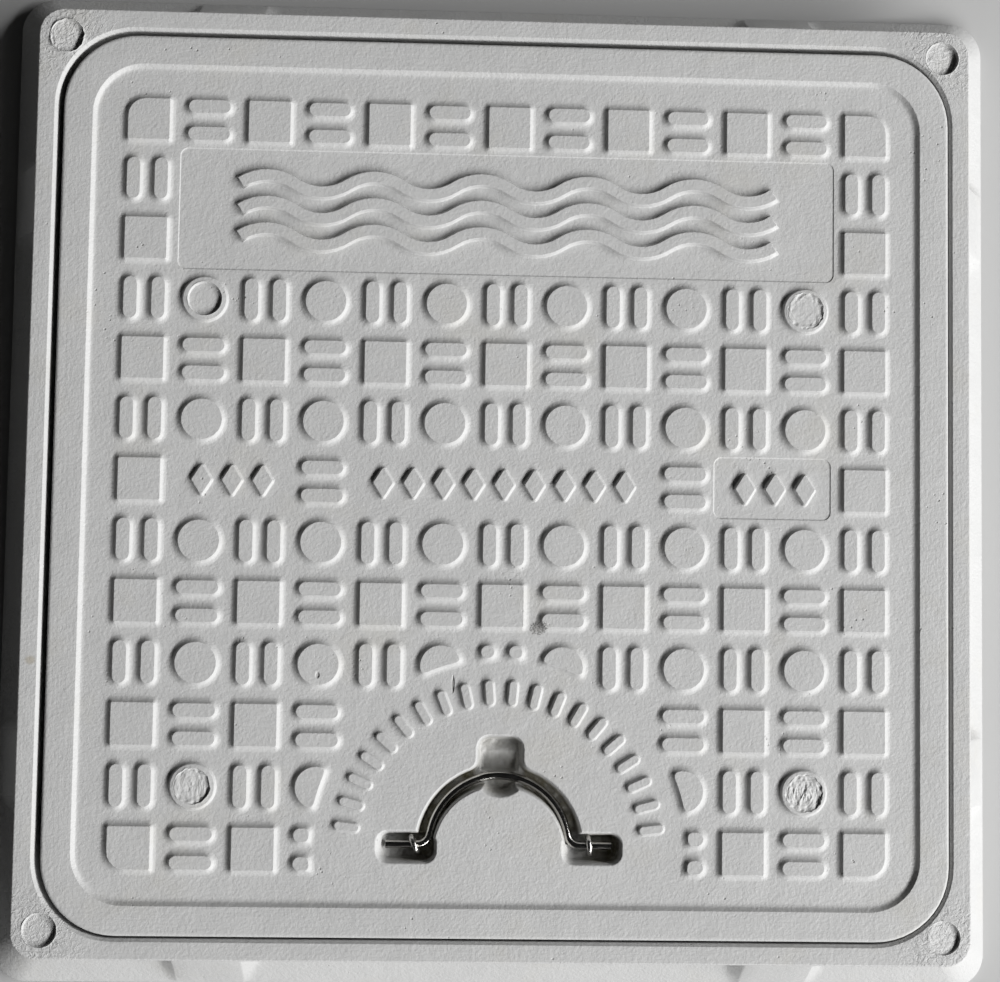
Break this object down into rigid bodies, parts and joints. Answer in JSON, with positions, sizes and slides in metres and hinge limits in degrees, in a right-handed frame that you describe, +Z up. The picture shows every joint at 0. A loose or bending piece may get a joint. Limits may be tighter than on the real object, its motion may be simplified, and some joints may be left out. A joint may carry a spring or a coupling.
{
  "type": "manhole cover",
  "caption": "Square moulded manhole cover with a raised anti-slip tread and a fold-down lifting handle, seated in its flanged frame.",
  "frame": {"origin": "middle of the underside of the frame, at the level it rests on", "axes": "+Z up out of the tread, +X to the right and +Y away from the handle when the handle is nearest"},
  "size_m": [0.559, 0.559, 0.05],
  "materials": {
    "cover_moulding": "moulded glass-fibre plastic, matt off-white grey",
    "frame_moulding": "moulded glass-fibre plastic, matt off-white grey",
    "seal_rubber": "matt black",
    "handle_steel": "bright drawn stainless bar, slightly dull",
    "eye_steel": "stainless, slightly dull",
    "zinc_fastener": "zinc plated"
  },
  "bodies": {
    "frame": {"frame": "frame_moulding", "seat_gasket": "seal_rubber"},
    "cover": {"cover": "cover_moulding", "eye_bolt_left": "eye_steel", "eye_bolt_right": "eye_steel", "eye_washer_left": "zinc_fastener", "eye_washer_right": "zinc_fastener", "eye_nut_left": "zinc_fastener", "eye_nut_right": "zinc_fastener"},
    "handle": {"lift_handle": "handle_steel"}
  },
  "joints": [
    {"name": "cover_lift", "type": "slide", "parent": "frame", "child": "cover", "axis": [0, 0, 1], "range_m": [0, 0.12]},
    {"name": "handle_fold", "type": "hinge", "parent": "cover", "child": "handle", "pos_m": [0.0013, -0.1986, 0.0415], "axis": [1, 0, 0], "range_deg": [0, 125]}
  ]
}
